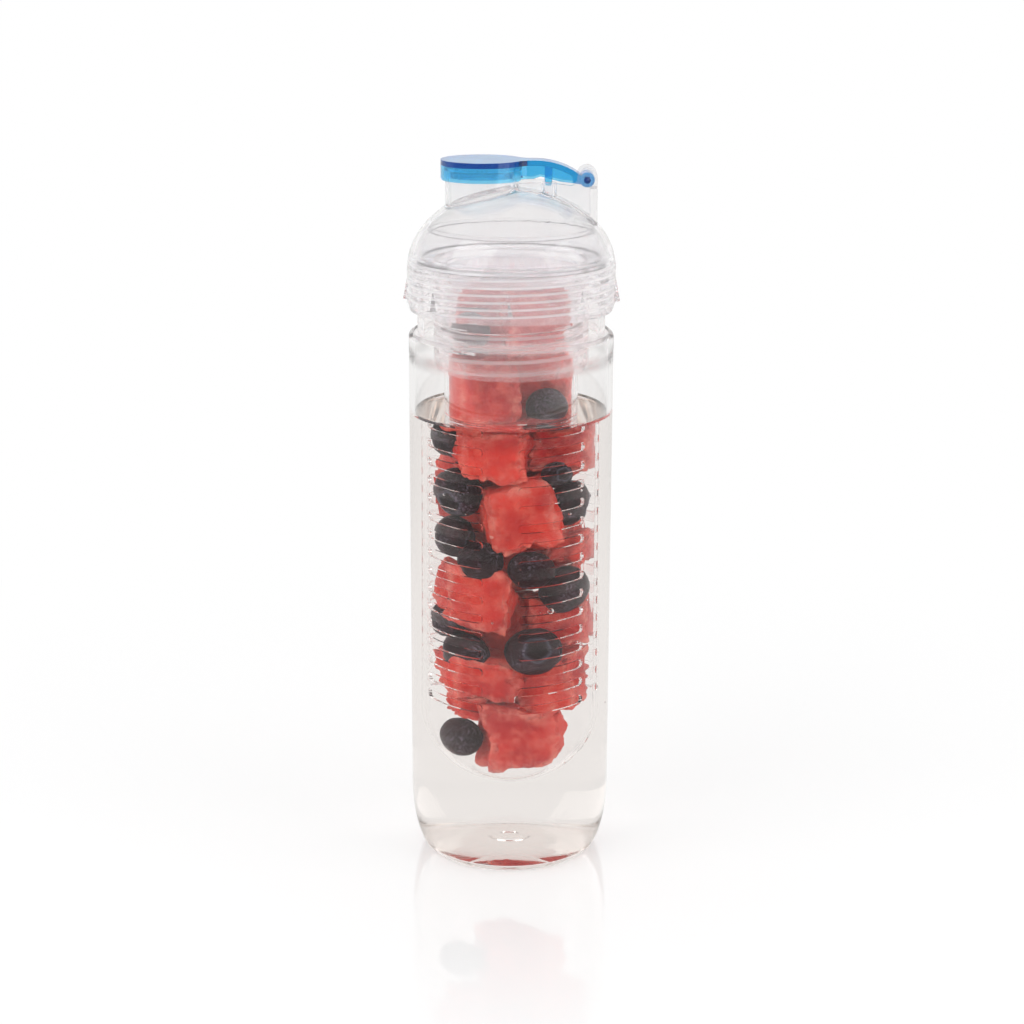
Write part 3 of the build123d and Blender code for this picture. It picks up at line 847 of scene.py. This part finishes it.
def make_stage():
    """A pale glossy table that runs out into a white background."""
    s = Shader("table_top")
    rays = s.tree.nodes.new("ShaderNodeLightPath")
    seen = Value(s, rays.outputs["Is Camera Ray"])
    through = Value(s, rays.outputs["Is Transmission Ray"])
    bent = Value(s, rays.outputs["Is Glossy Ray"]).at_least(through)
    lighting = Value(s, rays.outputs["Diffuse Depth"]).above(0.5)
    white = s.node("ShaderNodeEmission", {}, {"Color": (1.0, 1.0, 1.0), "Strength": 1.0})
    pale_light = s.node("ShaderNodeEmission", {}, {"Color": BACKGROUND, "Strength": 1.0})
    front_light = s.node(
        "ShaderNodeEmission", {}, {"Color": BACKGROUND, "Strength": STUDIO_FRONT}
    )
    pale = s.node("ShaderNodeBsdfDiffuse", {}, {"Color": (0.82, 0.82, 0.82)})
    gloss = s.node(
        "ShaderNodeBsdfGlossy", {}, {"Color": (1.0, 1.0, 1.0), "Roughness": 0.06}
    )
    fresnel = s.node("ShaderNodeFresnel", {}, {"IOR": 1.9})
    glossy = 1 - s.radius().ramp(0.05, 0.2)
    far = s.radius().ramp(0.09, 0.4)
    in_front = 1 - s.place("Y").ramp(-0.4, -0.12)
    whitened = s.mix(seen * (far * 0.5 + 0.5), pale, white)
    top = s.mix(fresnel * glossy, whitened, gloss)
    room = s.mix(in_front * (1 - lighting), pale_light, front_light)
    s.finish(s.mix(bent, top, room))
    half = 3.0
    corners = [(-half, -half, 0), (half, -half, 0), (half, half, 0), (-half, half, 0)]
    mesh = bpy.data.meshes.new("table")
    mesh.from_pydata(corners, [], [(0, 1, 2, 3)])
    mesh.materials.append(s.material)
    table = bpy.data.objects.new("table", mesh)
    bpy.context.scene.collection.objects.link(table)


def make_world():
    """A white light tent whose open front and sides show dimmer in mirrored and bent rays."""
    world = bpy.data.worlds.new("studio")
    bpy.context.scene.world = world
    world.use_nodes = True
    tree = world.node_tree
    tree.nodes.clear()

    def node(kind, settings, inputs):
        made = tree.nodes.new(kind)
        for key, setting in settings.items():
            setattr(made, key, setting)
        for key, value in inputs.items():
            if isinstance(value, bpy.types.NodeSocket):
                tree.links.new(value, made.inputs[key])
            else:
                made.inputs[key].default_value = value
        return made

    def maths(operation, first, second):
        return node("ShaderNodeMath", {"operation": operation}, {0: first, 1: second}).outputs[0]

    def fade(part, low, high, at_low, at_high):
        made = node(
            "ShaderNodeMapRange",
            {"interpolation_type": "SMOOTHSTEP"},
            {
                "Value": part,
                "From Min": low,
                "From Max": high,
                "To Min": at_low,
                "To Max": at_high,
            },
        )
        return made.outputs[0]

    rays = node("ShaderNodeLightPath", {}, {}).outputs
    through = rays["Is Transmission Ray"]
    lighting = maths("GREATER_THAN", rays["Diffuse Depth"], 0.5)
    mirrored = maths("MAXIMUM", rays["Is Glossy Ray"], through)
    plain = maths("MAXIMUM", lighting, maths("SUBTRACT", 1.0, mirrored))

    direction = node("ShaderNodeTexCoord", {}, {}).outputs["Generated"]
    parts = node("ShaderNodeSeparateXYZ", {}, {0: direction}).outputs
    tent = maths(
        "MAXIMUM",
        fade(parts["Z"], -0.02, 0.3, STUDIO_FRONT, 1.0),
        fade(parts["Y"], -0.25, 0.25, STUDIO_FRONT, 1.0),
    )
    sideways = fade(maths("ABSOLUTE", parts["X"], 0.0), 0.5, 1.0, 1.0, STUDIO_SIDE)
    sides = maths("MAXIMUM", sideways, maths("SUBTRACT", 1.0, through))
    level = maths("MAXIMUM", maths("MULTIPLY", tent, sides), plain)

    bent = maths("MULTIPLY", through, maths("SUBTRACT", 1.0, lighting))
    tint = node(
        "ShaderNodeMix",
        {"data_type": "RGBA"},
        {0: bent, 6: (1.0, 1.0, 1.0, 1.0), 7: (*BACKGROUND, 1.0)},
    )
    background = node(
        "ShaderNodeBackground", {}, {"Color": tint.outputs[2], "Strength": level}
    )
    node("ShaderNodeOutputWorld", {}, {"Surface": background.outputs[0]})


def area_light(name, place, size, power):
    light = bpy.data.lights.new(name, "AREA")
    light.shape = "RECTANGLE"
    light.size, light.size_y = size
    light.energy = power
    lamp = bpy.data.objects.new(name, light)
    lamp.location = place
    middle = Vector((0, 0, 0.12))
    lamp.rotation_euler = (middle - Vector(place)).to_track_quat("-Z", "Y").to_euler()
    bpy.context.scene.collection.objects.link(lamp)


def make_lights():
    area_light("left_softbox", (-0.9, -0.7, 0.75), (1.0, 1.4), 7.0)
    area_light("right_softbox", (1.0, -0.5, 0.6), (0.9, 1.2), 4.5)


def make_camera():
    """The photograph's view: a long lens that looks down on the bottle from the front."""
    image_width = 1024
    focal_length_in_pixels = 2206
    looks_down = 15.45
    leans = 0.22
    camera = bpy.data.cameras.new("camera")
    camera.sensor_width = 36.0
    camera.lens = camera.sensor_width * focal_length_in_pixels / image_width
    holder = bpy.data.objects.new("camera", camera)
    holder.location = (0.0005, -0.7428, 0.3283)
    pitch = Matrix.Rotation(math.radians(90 - looks_down), 3, "X")
    roll = Matrix.Rotation(math.radians(leans), 3, "Z")
    holder.rotation_euler = (pitch @ roll).to_euler()
    bpy.context.scene.collection.objects.link(holder)
    bpy.context.scene.camera = holder


def set_view():
    """Light passes many clear walls here, and the sharp light in them isn't blurred."""
    scene = bpy.context.scene
    scene.view_settings.view_transform = "Standard"
    scene.cycles.max_bounces = 64
    scene.cycles.transmission_bounces = 64
    scene.cycles.glossy_bounces = 64
    scene.cycles.diffuse_bounces = 16
    scene.cycles.transparent_max_bounces = 32
    scene.cycles.blur_glossy = 0.0


make_camera()
set_view()
make_world()
make_lights()
make_stage()
dress_nodes()
pour_water()
add_bubbles()
fill_basket()
